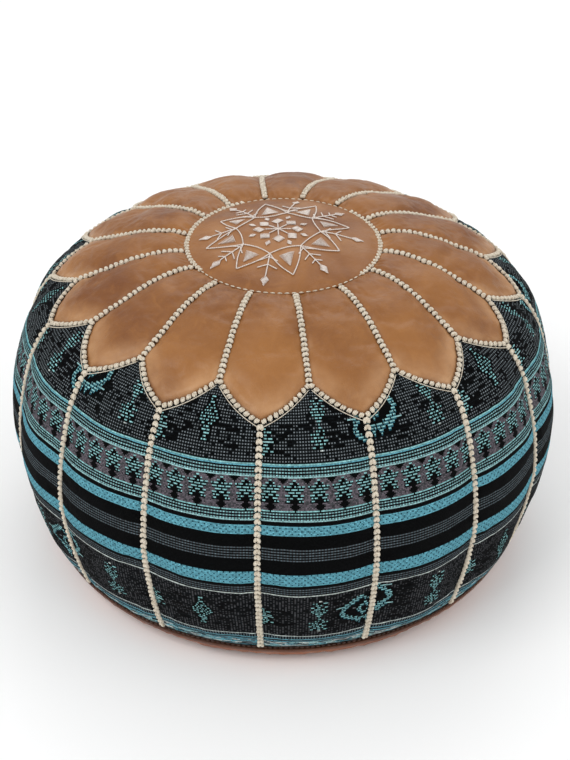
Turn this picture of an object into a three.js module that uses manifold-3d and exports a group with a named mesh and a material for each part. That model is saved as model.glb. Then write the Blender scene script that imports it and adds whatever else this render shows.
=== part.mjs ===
// A round Moroccan pouf: leather petals on top and woven panels round the side, sewn over a stuffed lining,
// with a leather base in two half-moons that a zip closes.
// Millimetres, +Z up. The origin is the centre of the base, on the floor, and the front faces -Y.
import * as THREE from "three";
import { mergeVertices } from "three/addons/utils/BufferGeometryUtils.js";
import Module from "manifold-3d";

const wasm = await Module();
wasm.setup();

// Sewing pattern
const SECTORS = 16; // petals on top, and as many panels round the side
const PITCH = (2 * Math.PI) / SECTORS;
const FIRST_SEAM = THREE.MathUtils.degToRad(6.4); // a radial seam's outer end, from the front towards +X
// How far each radial seam turns on its way to the medallion, in degrees: the sewing is by hand and uneven.
const SEAM_TURNS = [0.2, 3.7, 7, 7, 6.5, 2.5, 5.5, 5, 5, 6, 3.5, 5, 3, -0.5, -1.5, -2];
const ARCH_FULLNESS = 0.1; // how far an arched edge bulges past a straight cut, as a share of its drop

// The seams' outline from the medallion's rim down to the base seam, as radius and height
const OUTLINE = [
  [93, 319.5], // medallion rim
  [112, 320.5],
  [141, 315],
  [173, 303],
  [200, 292], // arch tops
  [231, 273], // petal tips
  [249, 247],
  [261, 212],
  [269, 176],
  [272, 140],
  [268, 100],
  [260, 60],
  [251, 27], // base seam
];
const ARCH_TOP_POINT = 4;
const PETAL_TIP_POINT = 5;
const PETAL_PUFF = 5;
const PANEL_PUFF = 4;

// Materials' thicknesses and the seams' cord
const LEATHER = 2.5;
const CLOTH = 2;
const LINING = 1.2;
const CORD_RADIUS = 2;
const CORD_SIDES = 4;
const SIDE_CORD_START = 6; // a side seam's cord starts this far below the petal's tip
const SEAM_GAP = 2.8; // from a seam's centreline to a panel's edge
const ARCH_GAP = 3.8; // the same across a slanting edge, measured down the outline
const LINING_DEPTH = 5; // from the seams' outline in to the lining
const CORE_GAP = 0.6; // between the lining and the filling
const CORE_DEPTH = LINING_DEPTH + LINING + CORE_GAP;

// Medallion, domed by the filling
const MEDALLION_RADIUS = 90;
const DOME_TOP = 337;
const DOME_DROP = 17; // from the middle to the rim
const DOME_POWER = 1.8;
// The embroidery's eight rays overlap its round centre. spread is a ray's angle at its root, and blunt is
// the share of that left at its tip.
const STAR = { rays: 8, centre: 26, root: 22, tip: 72, spread: 0.3, blunt: 0.04, gap: 0.4, thick: 0.8 };

// Base
const BASE_RADIUS = 250.8;
const REST_RADIUS = 205; // the flat that stands on the floor reaches this far out
const BASE_CURVE = { across: 46, up: 25 }; // half axes of the turn from the flat up to the base seam
const CHANNEL_HEIGHT = 12; // the base rises this far to the zip, which keeps the zip off the floor
const CHANNEL_HALF = 45;
const CHANNEL_ENDS = [190, 225]; // the rise starts to fade here, and has gone here
const OPENING_HALF = 8;
const OPENING_ENDS = [180, 190]; // the opening starts to close here, and has closed here
const CLOSED_HALF = 0.3; // half the gap between the half-moons past the opening's ends
const BASE_COLUMNS = [249, 240, 225, 208, 190, 180, 150, 110, 75, 40]; // the mesh's columns to either side
const BASE_FOLD_ROWS = 2; // rows of the mesh from the opening to the fold, then from the fold to the rim
const BASE_FLAT_ROWS = 6;

// Space for the channel in the lining, as a section across the zip, and the lining's own opening
const CHANNEL_SPACE = { low: -5, high: 18.5, lowHalf: 58, highHalf: 22, pastEnds: 4 };
const LINING_OPENING = { halfLength: 150, half: 6, low: 10, high: 30 };

// Zip
const ZIP_LENGTH = 330;
const TOOTH_PITCH = 6;
const TOOTH_WIDTH = 2.6;
const TOOTH_REACH = 1.2; // past the centreline
const TOOTH_CLEARANCE = 0.4; // from a tooth's tip to the facing teeth's roots
const TOOTH_MARGIN = { start: 1, end: 0.5 }; // plain chain at its two ends
const CHAIN_HALF = 3.5;
const CHAIN_BOTTOM = 13;
const CHAIN_THICK = 2;
const TAPE = { inner: 1, outer: 16, length: 370, bottom: 15.3, thick: 0.8 };
const SLIDER = { x: 150, length: 30, half: 5.6, bottom: 9.6, plate: 1.4, flange: 1.2, top: 14.4 };
const LUG = { length: 8, height: 5.2, thick: 2.4, holeLength: 5, holeHeight: 2.8, floor: 1.2 };
const PULL = { pivotZ: 7, bar: 0.9, barInset: 0.2, arm: 1.4, half: 4, start: 6, length: 32, thick: 1.6 };
const STOP = { gap: 1, length: 4, inner: 0.6 };
const OVERLAP = { lug: 0.2, arm: 1 }; // how far joined shapes run into each other

const leather = material(0x9c5f2e, 0.5);
const darkLeather = material(0x6f3620, 0.55);
const cloth = material(0x2f3338, 0.95);
const cotton = material(0xe9e2d2, 0.9);
const calico = material(0xcfc7b4, 0.95);
const brass = material(0xb08d4a, 0.35, 1);
const tapeCloth = material(0x4a2f1f, 0.95);

const outline = new THREE.CatmullRomCurve3(
  OUTLINE.map(([radius, height]) => new THREE.Vector3(radius, 0, height)),
  false,
  "centripetal",
);
outline.arcLengthDivisions = 1200;
const OUTLINE_LENGTH = outline.getLength();
const ARCH_TOP = lengthToPoint(ARCH_TOP_POINT);
const PETAL_TIP = lengthToPoint(PETAL_TIP_POINT);

const group = new THREE.Group();

function material(color, roughness, metalness = 0) {
  return new THREE.MeshStandardMaterial({ color, roughness, metalness });
}

function add(name, geometry, look) {
  const mesh = new THREE.Mesh(geometry, look);
  mesh.name = name;
  group.add(mesh);
}

function numbered(name, k) {
  return `${name}_${String(k + 1).padStart(2, "0")}`;
}

// Solids ---------------------------------------------------------------------------------------------

function toSolid(geometry) {
  const bare = geometry.clone();
  bare.deleteAttribute("normal");
  bare.deleteAttribute("uv");
  const merged = mergeVertices(bare, 1e-3);
  return new wasm.Manifold(
    new wasm.Mesh({
      numProp: 3,
      vertProperties: merged.attributes.position.array,
      triVerts: Uint32Array.from(merged.index.array),
    }),
  );
}

function toGeometry(solid) {
  const mesh = solid.getMesh();
  const geometry = new THREE.BufferGeometry();
  geometry.setAttribute("position", new THREE.BufferAttribute(mesh.vertProperties, 3));
  geometry.setIndex(new THREE.BufferAttribute(mesh.triVerts, 1));
  geometry.computeVertexNormals();
  return geometry;
}

function joined(geometries) {
  return toGeometry(geometries.map(toSolid).reduce((whole, solid) => whole.add(solid)));
}

// A box from its lowest to its highest corner.
function box(low, high) {
  const size = high.map((value, axis) => value - low[axis]);
  const middle = high.map((value, axis) => (value + low[axis]) / 2);
  return new THREE.BoxGeometry(...size).translate(...middle);
}

// A shape drawn in X and Z, made this thick along Y and centred on Y = 0.
function extrudedAlongY(shape, thickness) {
  return new THREE.ExtrudeGeometry(shape, { depth: thickness, bevelEnabled: false })
    .rotateX(Math.PI / 2)
    .translate(0, thickness / 2, 0);
}

// A profile of [radius, height] pairs turned about +Z.
function revolved(profile, segments) {
  const points = profile.map(([radius, height]) => new THREE.Vector2(radius, height));
  return new THREE.LatheGeometry(points, segments).rotateX(Math.PI / 2);
}

// A round cord through points.
function cordThrough(points, steps) {
  const section = new THREE.Shape();
  for (let side = 0; side <= CORD_SIDES; side++) {
    const turn = (side * 2 * Math.PI) / CORD_SIDES;
    const [x, y] = [CORD_RADIUS * Math.cos(turn), CORD_RADIUS * Math.sin(turn)];
    if (side === 0) section.moveTo(x, y);
    else section.lineTo(x, y);
  }
  const extrudePath = new THREE.CatmullRomCurve3(points, false, "centripetal");
  return new THREE.ExtrudeGeometry(section, { steps, bevelEnabled: false, extrudePath });
}

// A sheet of points, the same sheet set in by a thickness, and walls round the edge.
// place(across, down, depth) gives a point, for across and down from 0 to 1.
function thickSheet(place, across, down, thickness) {
  const positions = [];
  for (const depth of [0, thickness]) {
    for (const row of down) {
      for (const column of across) positions.push(...place(column, row, depth).toArray());
    }
  }
  const [columns, rows] = [across.length, down.length];
  const at = (column, row) => row * columns + column;
  const inside = columns * rows;
  const index = [];
  const quad = (a, b, c, d) => index.push(a, b, c, a, c, d);
  for (let row = 0; row < rows - 1; row++) {
    for (let column = 0; column < columns - 1; column++) {
      const corners = [at(column, row), at(column, row + 1), at(column + 1, row + 1), at(column + 1, row)];
      quad(...corners);
      quad(...corners.map((corner) => corner + inside).reverse());
    }
  }
  const edge = [];
  for (let row = 0; row < rows - 1; row++) edge.push(at(0, row));
  for (let column = 0; column < columns - 1; column++) edge.push(at(column, rows - 1));
  for (let row = rows - 1; row > 0; row--) edge.push(at(columns - 1, row));
  for (let column = columns - 1; column > 0; column--) edge.push(at(column, 0));
  edge.forEach((from, k) => {
    const to = edge[(k + 1) % edge.length];
    quad(to, from, from + inside, to + inside);
  });
  const geometry = new THREE.BufferGeometry();
  geometry.setAttribute("position", new THREE.Float32BufferAttribute(positions, 3));
  geometry.setIndex(index);
  geometry.computeVertexNormals();
  return geometry;
}

function evenly(count) {
  return Array.from({ length: count + 1 }, (_, k) => k / count);
}

// The pouf's surface ---------------------------------------------------------------------------------

// The distance down the outline to one of its own points.
function lengthToPoint(point) {
  const divisions = 100 * (OUTLINE.length - 1);
  return outline.getLengths(divisions)[100 * point];
}

// A point given by its angle round the pouf, its distance down the outline and its height above the seams.
function onSurface(angle, length, raised = 0) {
  const share = THREE.MathUtils.clamp(length / OUTLINE_LENGTH, 0, 1);
  const seam = outline.getPointAt(share);
  const down = outline.getTangentAt(share);
  const radius = seam.x - raised * down.z;
  const height = seam.z + raised * down.x;
  return new THREE.Vector3(radius * Math.sin(angle), -radius * Math.cos(angle), height);
}

function radiusAt(length) {
  return outline.getPointAt(THREE.MathUtils.clamp(length / OUTLINE_LENGTH, 0, 1)).x;
}

// The angle of radial seam k, or between seams for a k that isn't whole.
function seamAngle(k, length) {
  const inward = THREE.MathUtils.clamp(1 - length / ARCH_TOP, 0, 1);
  const turn = inward > 0 ? THREE.MathUtils.degToRad(SEAM_TURNS[k % SECTORS]) : 0;
  return FIRST_SEAM + k * PITCH + inward * turn;
}

// How far down the outline an arched edge is, from 0 at a radial seam's end to 1 at a petal's tip.
function archLength(share) {
  return ARCH_TOP + (PETAL_TIP - ARCH_TOP) * (share + ARCH_FULLNESS * Math.sin(Math.PI * share));
}

// A panel between two seams, puffed up between its edges.
function sewnPanel({ left, top, bottom, puff, thickness, columns, rows }) {
  const place = (across, down, depth) => {
    const length = THREE.MathUtils.lerp(top(across), bottom(across), down);
    const inset = SEAM_GAP / radiusAt(length);
    const [start, end] = [seamAngle(left, length) + inset, seamAngle(left + 1, length) - inset];
    const angle = THREE.MathUtils.lerp(start, end, across);
    const raised = puff * Math.sin(Math.PI * across) * Math.sin(Math.PI * down) ** 0.5;
    return onSurface(angle, length, raised - depth);
  };
  return thickSheet(place, evenly(columns), evenly(rows), thickness);
}

// How far a column is from the panel's middle, from 0 to 1.
function fromMiddle(across) {
  return Math.abs(2 * across - 1);
}

function petal(k) {
  return sewnPanel({
    left: k,
    top: () => SEAM_GAP,
    bottom: (across) => archLength(1 - fromMiddle(across)) - ARCH_GAP,
    puff: PETAL_PUFF,
    thickness: LEATHER,
    columns: 4,
    rows: 6,
  });
}

function sidePanel(k) {
  return sewnPanel({
    left: k - 0.5,
    top: (across) => archLength(fromMiddle(across)) + ARCH_GAP,
    bottom: () => OUTLINE_LENGTH - SEAM_GAP,
    puff: PANEL_PUFF,
    thickness: CLOTH,
    columns: 4,
    rows: 9,
  });
}

// Seams ----------------------------------------------------------------------------------------------

function ring(radius, height) {
  return new THREE.TorusGeometry(radius, CORD_RADIUS, 5, 2 * SECTORS).translate(0, 0, height);
}

function topSeams() {
  const [rimRadius, rimHeight] = OUTLINE[0];
  const cords = [ring(rimRadius, rimHeight)];
  for (let k = 0; k < SECTORS; k++) {
    const radial = evenly(6).map((share) => onSurface(seamAngle(k, share * ARCH_TOP), share * ARCH_TOP));
    cords.push(cordThrough(radial, 5));
    const arch = evenly(4).map((across) => {
      const length = archLength(1 - fromMiddle(across));
      return onSurface(seamAngle(k + across, length), length);
    });
    cords.push(cordThrough(arch.slice(0, 3), 2), cordThrough(arch.slice(2), 2));
  }
  return joined(cords);
}

function sideSeams() {
  const [baseRadius, baseHeight] = OUTLINE.at(-1);
  const start = PETAL_TIP + SIDE_CORD_START;
  const cords = [ring(baseRadius, baseHeight)];
  for (let k = 0; k < SECTORS; k++) {
    const points = evenly(8).map((share) => {
      const length = THREE.MathUtils.lerp(start, OUTLINE_LENGTH, share);
      return onSurface(seamAngle(k + 0.5, length), length);
    });
    cords.push(cordThrough(points, 8));
  }
  return joined(cords);
}

// Medallion ------------------------------------------------------------------------------------------

function domeHeight(radius) {
  return DOME_TOP - DOME_DROP * (radius / MEDALLION_RADIUS) ** DOME_POWER;
}

// A profile across the dome, this far above it, from the axis out to a radius.
function domeProfile(raised, outTo, steps) {
  return evenly(steps).map((share) => [share * outTo, domeHeight(share * outTo) + raised]);
}

function medallion() {
  const top = domeProfile(0, MEDALLION_RADIUS, 6);
  const bottom = domeProfile(-LEATHER, MEDALLION_RADIUS, 6);
  return revolved([...bottom, ...top.reverse()], 2 * SECTORS);
}

// The raised embroidery: a round centre and eight tapering rays.
function embroidery() {
  const top = domeProfile(STAR.gap + STAR.thick, STAR.centre, 3);
  const bottom = domeProfile(STAR.gap, STAR.centre, 3);
  const pieces = [revolved([...bottom, ...top.reverse()], 2 * SECTORS)];
  for (let k = 0; k < STAR.rays; k++) {
    const middle = (k * 2 * Math.PI) / STAR.rays;
    const place = (across, down, depth) => {
      const radius = THREE.MathUtils.lerp(STAR.root, STAR.tip, down);
      const angle = middle + (across - 0.5) * STAR.spread * (1 + STAR.blunt - down);
      const height = domeHeight(radius) + STAR.gap + STAR.thick - depth;
      return new THREE.Vector3(radius * Math.sin(angle), -radius * Math.cos(angle), height);
    };
    pieces.push(thickSheet(place, evenly(2), evenly(4), STAR.thick));
  }
  return joined(pieces);
}

// Base -----------------------------------------------------------------------------------------------

// How far a value is between two ends, from 1 at the first to 0 at the second.
function fading(value, [start, end]) {
  return THREE.MathUtils.clamp((end - value) / (end - start), 0, 1);
}

function baseHeight(x, y) {
  const outward = Math.max(0, Math.hypot(x, y) - REST_RADIUS) / BASE_CURVE.across;
  const turnedUp = BASE_CURVE.up * (1 - Math.sqrt(Math.max(0, 1 - outward ** 2)));
  const rise = fading(Math.abs(y), [OPENING_HALF, CHANNEL_HALF]) * fading(Math.abs(x), CHANNEL_ENDS);
  return Math.max(turnedUp, CHANNEL_HEIGHT * rise);
}

// A point on the base's underside, moved up into the leather by a depth.
function onBase(x, y, depth) {
  const step = 0.05;
  const inward = new THREE.Vector3(
    (baseHeight(x - step, y) - baseHeight(x + step, y)) / (2 * step),
    (baseHeight(x, y - step) - baseHeight(x, y + step)) / (2 * step),
    1,
  ).normalize();
  return new THREE.Vector3(x, y, baseHeight(x, y)).addScaledVector(inward, depth);
}

// One half-moon of the base, on the front side of the zip for side -1 and the rear for 1.
function baseHalf(side) {
  const across = [...BASE_COLUMNS.map((x) => -x), 0, ...BASE_COLUMNS.toReversed()];
  const rows = [...evenly(BASE_FOLD_ROWS), ...evenly(BASE_FLAT_ROWS).slice(1).map((share) => 1 + share)];
  const place = (x, row, depth) => {
    const near = THREE.MathUtils.lerp(CLOSED_HALF, OPENING_HALF, fading(Math.abs(x), OPENING_ENDS));
    const far = Math.sqrt(BASE_RADIUS ** 2 - x ** 2);
    const fold = Math.min(CHANNEL_HALF, far / 2);
    const y =
      row < 1
        ? THREE.MathUtils.lerp(near, fold, row)
        : THREE.MathUtils.lerp(fold, far, 1 - (2 - row) ** 2);
    return onBase(side * x, side * y, depth);
  };
  return thickSheet(place, across, rows, LEATHER);
}

// Lining and filling ---------------------------------------------------------------------------------

// The outline set in by a depth, closed on the axis at the top and the bottom.
function insetLathe(depth) {
  const wall = evenly(8).map((share) => {
    const point = onSurface(0, share * OUTLINE_LENGTH, -depth);
    return [-point.y, point.z];
  });
  const turn = evenly(3).map((share) => {
    const angle = ((1 - share) * Math.PI) / 2;
    return [
      REST_RADIUS + (BASE_CURVE.across - depth) * Math.sin(angle),
      BASE_CURVE.up - (BASE_CURVE.up - depth) * Math.cos(angle),
    ];
  });
  const profile = [...domeProfile(-depth, MEDALLION_RADIUS - 6, 4), ...wall, ...turn, [0, depth]];
  return revolved(profile.reverse(), 2 * SECTORS);
}

// The space that the base's channel takes out of what lies above it.
function channel(grown) {
  const { low, high, lowHalf, highHalf, pastEnds } = CHANNEL_SPACE;
  const section = new THREE.Shape([
    new THREE.Vector2(-lowHalf - grown, low),
    new THREE.Vector2(lowHalf + grown, low),
    new THREE.Vector2(highHalf + grown, high + grown),
    new THREE.Vector2(-highHalf - grown, high + grown),
  ]);
  const length = 2 * (CHANNEL_ENDS[1] + pastEnds + grown);
  return extrudedAlongY(section, length).rotateZ(Math.PI / 2);
}

function liningBag() {
  const outside = toSolid(insetLathe(LINING_DEPTH)).subtract(toSolid(channel(0)));
  const inside = toSolid(insetLathe(LINING_DEPTH + LINING)).subtract(toSolid(channel(LINING)));
  const { halfLength, half, low, high } = LINING_OPENING;
  const opening = toSolid(box([-halfLength, -half, low], [halfLength, half, high]));
  return toGeometry(outside.subtract(inside).subtract(opening));
}

function filling() {
  return toGeometry(toSolid(insetLathe(CORE_DEPTH)).subtract(toSolid(channel(LINING + CORE_GAP))));
}

// Zip ------------------------------------------------------------------------------------------------

// One side's teeth on their cord, as a comb. side is -1 for the front and 1 for the rear.
function toothChain(side) {
  const start = -ZIP_LENGTH / 2;
  const shift = side > 0 ? TOOTH_PITCH / 2 : 0;
  const root = TOOTH_REACH + TOOTH_CLEARANCE;
  const comb = new THREE.Shape();
  comb.moveTo(start, side * CHAIN_HALF);
  comb.lineTo(start, side * root);
  const last = -start - TOOTH_MARGIN.end - TOOTH_WIDTH;
  for (let x = start + TOOTH_MARGIN.start + shift; x < last; x += TOOTH_PITCH) {
    comb.lineTo(x, side * root);
    comb.lineTo(x, -side * TOOTH_REACH);
    comb.lineTo(x + TOOTH_WIDTH, -side * TOOTH_REACH);
    comb.lineTo(x + TOOTH_WIDTH, side * root);
  }
  comb.lineTo(-start, side * root);
  comb.lineTo(-start, side * CHAIN_HALF);
  comb.closePath();
  const chain = new THREE.ExtrudeGeometry(comb, { depth: CHAIN_THICK, bevelEnabled: false });
  return chain.translate(0, 0, CHAIN_BOTTOM);
}

function zipTape(side) {
  const [near, far] = [side * TAPE.inner, side * TAPE.outer];
  return box(
    [-TAPE.length / 2, Math.min(near, far), TAPE.bottom],
    [TAPE.length / 2, Math.max(near, far), TAPE.bottom + TAPE.thick],
  );
}

// A stop past one end of the teeth, from one Y to another.
function zipStop(end, fromY, toY) {
  const near = end * (ZIP_LENGTH / 2 + STOP.gap);
  const far = near + end * STOP.length;
  return box(
    [Math.min(near, far), fromY, CHAIN_BOTTOM],
    [Math.max(near, far), toY, CHAIN_BOTTOM + CHAIN_THICK],
  );
}

function slider() {
  const [back, front] = [SLIDER.x - SLIDER.length / 2, SLIDER.x + SLIDER.length / 2];
  const plateTop = SLIDER.bottom + SLIDER.plate;
  const pieces = [box([back, -SLIDER.half, SLIDER.bottom], [front, SLIDER.half, plateTop])];
  for (const side of [-1, 1]) {
    const [near, far] = [side * (SLIDER.half - SLIDER.flange), side * SLIDER.half];
    pieces.push(
      box([back, Math.min(near, far), SLIDER.bottom], [front, Math.max(near, far), SLIDER.top]),
    );
  }
  const bottom = SLIDER.bottom - LUG.height;
  const lug = new THREE.Shape();
  lug.moveTo(SLIDER.x - LUG.length / 2, bottom);
  lug.lineTo(SLIDER.x + LUG.length / 2, bottom);
  lug.lineTo(SLIDER.x + LUG.length / 2, plateTop - OVERLAP.lug);
  lug.lineTo(SLIDER.x - LUG.length / 2, plateTop - OVERLAP.lug);
  lug.closePath();
  const hole = new THREE.Path();
  hole.moveTo(SLIDER.x - LUG.holeLength / 2, bottom + LUG.floor);
  hole.lineTo(SLIDER.x - LUG.holeLength / 2, bottom + LUG.floor + LUG.holeHeight);
  hole.lineTo(SLIDER.x + LUG.holeLength / 2, bottom + LUG.floor + LUG.holeHeight);
  hole.lineTo(SLIDER.x + LUG.holeLength / 2, bottom + LUG.floor);
  hole.closePath();
  lug.holes.push(hole);
  pieces.push(extrudedAlongY(lug, LUG.thick));
  return joined(pieces);
}

// The pull hangs by a bar through the slider's lug, and lies folded towards -X.
function pull() {
  const [low, high] = [PULL.pivotZ - PULL.thick / 2, PULL.pivotZ + PULL.thick / 2];
  const bar = new THREE.CylinderGeometry(PULL.bar, PULL.bar, 2 * (PULL.half - PULL.barInset), 8);
  const pieces = [bar.translate(SLIDER.x, 0, PULL.pivotZ)];
  for (const side of [-1, 1]) {
    const [near, far] = [side * (PULL.half - PULL.arm), side * PULL.half];
    pieces.push(
      box(
        [SLIDER.x - PULL.start - OVERLAP.arm, Math.min(near, far), low],
        [SLIDER.x + PULL.bar, Math.max(near, far), high],
      ),
    );
  }
  pieces.push(
    box([SLIDER.x - PULL.length, -PULL.half, low], [SLIDER.x - PULL.start, PULL.half, high]),
  );
  return joined(pieces);
}

// Assembly -------------------------------------------------------------------------------------------

add("top_medallion", medallion(), leather);
add("medallion_embroidery", embroidery(), cotton);
for (let k = 0; k < SECTORS; k++) add(numbered("top_petal", k), petal(k), leather);
for (let k = 0; k < SECTORS; k++) add(numbered("side_panel", k), sidePanel(k), cloth);
add("top_seam_cord", topSeams(), cotton);
add("side_seam_cord", sideSeams(), cotton);
add("base_half_front", baseHalf(-1), darkLeather);
add("base_half_rear", baseHalf(1), darkLeather);
add("lining_bag", liningBag(), calico);
add("filling", filling(), calico);
add("zip_tape_front", zipTape(-1), tapeCloth);
add("zip_tape_rear", zipTape(1), tapeCloth);
add("zip_teeth_front", toothChain(-1), brass);
add("zip_teeth_rear", toothChain(1), brass);
add("zip_top_stop_front", zipStop(1, -CHAIN_HALF, -STOP.inner), brass);
add("zip_top_stop_rear", zipStop(1, STOP.inner, CHAIN_HALF), brass);
add("zip_bottom_stop", zipStop(-1, -CHAIN_HALF, CHAIN_HALF), brass);
add("zip_slider", slider(), brass);
add("zip_pull", pull(), brass);

export default group;
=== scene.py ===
"""A round Moroccan pouf: leather petals and woven panels over a stuffed lining, with hand-stitched seams.

Metres, +Z up, the front faces -Y. Angles run from the front towards +X.
"""

import math

import bmesh
import bpy
import numpy as np
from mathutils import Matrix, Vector


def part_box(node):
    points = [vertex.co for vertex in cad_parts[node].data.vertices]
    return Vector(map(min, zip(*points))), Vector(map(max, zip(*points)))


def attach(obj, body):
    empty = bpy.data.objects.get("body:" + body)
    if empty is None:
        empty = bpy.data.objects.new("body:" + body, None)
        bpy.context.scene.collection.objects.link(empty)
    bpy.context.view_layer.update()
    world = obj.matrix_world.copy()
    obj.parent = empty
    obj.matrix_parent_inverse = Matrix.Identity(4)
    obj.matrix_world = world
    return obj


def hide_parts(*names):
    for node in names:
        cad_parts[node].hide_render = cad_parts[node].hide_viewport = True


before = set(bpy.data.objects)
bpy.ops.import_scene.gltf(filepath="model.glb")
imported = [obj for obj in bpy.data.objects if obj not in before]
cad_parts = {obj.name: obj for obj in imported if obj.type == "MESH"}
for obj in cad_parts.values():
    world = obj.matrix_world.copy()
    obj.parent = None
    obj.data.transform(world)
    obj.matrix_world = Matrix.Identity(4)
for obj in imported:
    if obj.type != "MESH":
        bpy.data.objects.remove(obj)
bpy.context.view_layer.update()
BODY = "pouf"
MM = 0.001

# Sewing pattern, as in the CAD. SEAM_TURNS and OUTLINE were measured on the photograph.
SECTORS = 16
PITCH = 2 * math.pi / SECTORS
FIRST_SEAM = math.radians(6.4)
SEAM_TURNS = np.radians([0.2, 3.7, 7, 7, 6.5, 2.5, 5.5, 5, 5, 6, 3.5, 5, 3, -0.5, -1.5, -2])
ARCH_FULLNESS = 0.1
OUTLINE = [
    (93, 319.5),  # medallion rim
    (112, 320.5),
    (141, 315),
    (173, 303),
    (200, 292),  # arch tops
    (231, 273),  # petal tips
    (249, 247),
    (261, 212),
    (269, 176),
    (272, 140),
    (268, 100),
    (260, 60),
    (251, 27),  # base seam
]
ARCH_TOP_POINT = 4
PETAL_TIP_POINT = 5
PETAL_PUFF = 5 * MM
PANEL_PUFF = 4 * MM
ARCH_SLANT = 0.72  # a distance down the outline from an arch, as a share of the distance across the seam
DOME_TOP = 337 * MM
DOME_DROP = 17 * MM
DOME_POWER = 1.8
MEDALLION_RADIUS = 93 * MM
RIM_OVERLAP = 1.5 * MM  # the medallion laps over the petals
REST_RADIUS = 205 * MM
BASE_RADIUS = 250.8 * MM
BASE_ACROSS = 46 * MM
BASE_UP = 25 * MM
CHANNEL_HEIGHT = 12 * MM
CHANNEL_HALF = 45 * MM
CHANNEL_ENDS = (190 * MM, 225 * MM)
OPENING_HALF = 8 * MM
OPENING_ENDS = (180 * MM, 190 * MM)
LEATHER = 2.5 * MM

# Hand stitching
SIDE_PITCH = 6.1 * MM
ARCH_PITCH = 5.5 * MM
LOBE_SHIFT = 1.25 * MM  # a knot's two lobes lie this far to either side of the seam
STRAND_STEP = 1.25 * MM  # a bundle's three strands are this far apart

# Woven cloth
CELL = 1.35 * MM
YARN_RISE = 0.3 * MM


def smooth(low, high, value):
    """0 below low, 1 above high, and a smooth step between."""
    t = np.clip((value - low) / (high - low), 0, 1)
    return t * t * (3 - 2 * t)


def bumps(points, seed, size):
    """A smooth random field from about -1 to 1 over points, with hills about this size."""
    random = np.random.default_rng(seed)
    total = np.zeros(len(points))
    for _ in range(14):
        way = random.normal(size=3)
        way *= 2 * math.pi / (size * np.linalg.norm(way) * random.uniform(0.8, 2.2))
        total += np.sin(points @ way + random.uniform(0, 2 * math.pi))
    return total / 4


# The pouf's surface ---------------------------------------------------------------------------------


CURVE_STEPS = 80  # samples from one point of the outline to the next


def through_points(points):
    """A centripetal Catmull-Rom curve through points, as dense samples."""
    points = np.array(points, float)
    points = np.vstack((2 * points[0] - points[1], points, 2 * points[-1] - points[-2]))
    samples = []
    for k in range(1, len(points) - 2):
        p0, p1, p2, p3 = points[k - 1 : k + 3]
        d0, d1, d2 = (np.linalg.norm(b - a) ** 0.5 for a, b in ((p0, p1), (p1, p2), (p2, p3)))
        m1 = ((p1 - p0) / d0 - (p2 - p0) / (d0 + d1) + (p2 - p1) / d1) * d1
        m2 = ((p2 - p1) / d1 - (p3 - p1) / (d1 + d2) + (p3 - p2) / d2) * d1
        t = np.arange(CURVE_STEPS)[:, None] / CURVE_STEPS
        cubic = (2 * t**3 - 3 * t**2 + 1) * p1 + (t**3 - 2 * t**2 + t) * m1
        samples.append(cubic + (3 * t**2 - 2 * t**3) * p2 + (t**3 - t**2) * m2)
    return np.vstack((*samples, points[-2]))


def distances(path):
    """How far along a path each of its points is."""
    return np.concatenate(([0], np.cumsum(np.linalg.norm(np.diff(path, axis=0), axis=1))))


def values_at(values, travelled, at):
    """Points or directions that belong to a path, at distances from its start."""
    return np.stack([np.interp(at, travelled, values[:, axis]) for axis in range(3)], 1)


CURVE = through_points(OUTLINE) * MM
LENGTHS = distances(CURVE)
SLOPES = np.gradient(CURVE, LENGTHS, axis=0)
SLOPES /= np.linalg.norm(SLOPES, axis=1)[:, None]
OUTLINE_LENGTH = LENGTHS[-1]
ARCH_TOP = LENGTHS[CURVE_STEPS * ARCH_TOP_POINT]
PETAL_TIP = LENGTHS[CURVE_STEPS * PETAL_TIP_POINT]


def polar(radius, angle, height):
    radius, angle, height = np.broadcast_arrays(radius, angle, height)
    return np.stack((radius * np.sin(angle), -radius * np.cos(angle), height), -1)


def radius_at(length):
    return np.interp(length, LENGTHS, CURVE[:, 0])


def on_surface(angle, length, raised=0.0):
    """Points at angles round the pouf and distances down the outline, raised above the seams."""
    angle, length, raised = np.broadcast_arrays(angle, length, raised)
    down_r = np.interp(length, LENGTHS, SLOPES[:, 0])
    down_z = np.interp(length, LENGTHS, SLOPES[:, 1])
    height = np.interp(length, LENGTHS, CURVE[:, 1]) + raised * down_r
    return polar(radius_at(length) - raised * down_z, angle, height)


def seam_angle(k, length):
    """The angle of radial seam k, or between seams for a k that isn't whole."""
    k, length = np.broadcast_arrays(np.asarray(k, float), length)
    inward = np.clip(1 - length / ARCH_TOP, 0, 1)
    turns = np.interp(k % SECTORS, np.arange(SECTORS + 1), np.append(SEAM_TURNS, SEAM_TURNS[0]))
    return FIRST_SEAM + k * PITCH + inward * turns


def arch_length(share):
    """How far down an arched edge is, from 0 at a radial seam's end to 1 at a petal's tip."""
    return ARCH_TOP + (PETAL_TIP - ARCH_TOP) * (share + ARCH_FULLNESS * np.sin(math.pi * share))


def dome_height(radius):
    return DOME_TOP - DOME_DROP * (radius / MEDALLION_RADIUS) ** DOME_POWER


def groove(distance, depth, width):
    """How far the skin dips at a distance from a seam."""
    return -depth * np.exp(-((np.maximum(distance, 0) / width) ** 1.5))


# Stuffing -------------------------------------------------------------------------------------------

FIELD_COLUMNS = 14 * SECTORS
FIELD_ROWS = 66
FIELD_CAP = 7 * MM
SIMULATION_STEPS = 20


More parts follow.
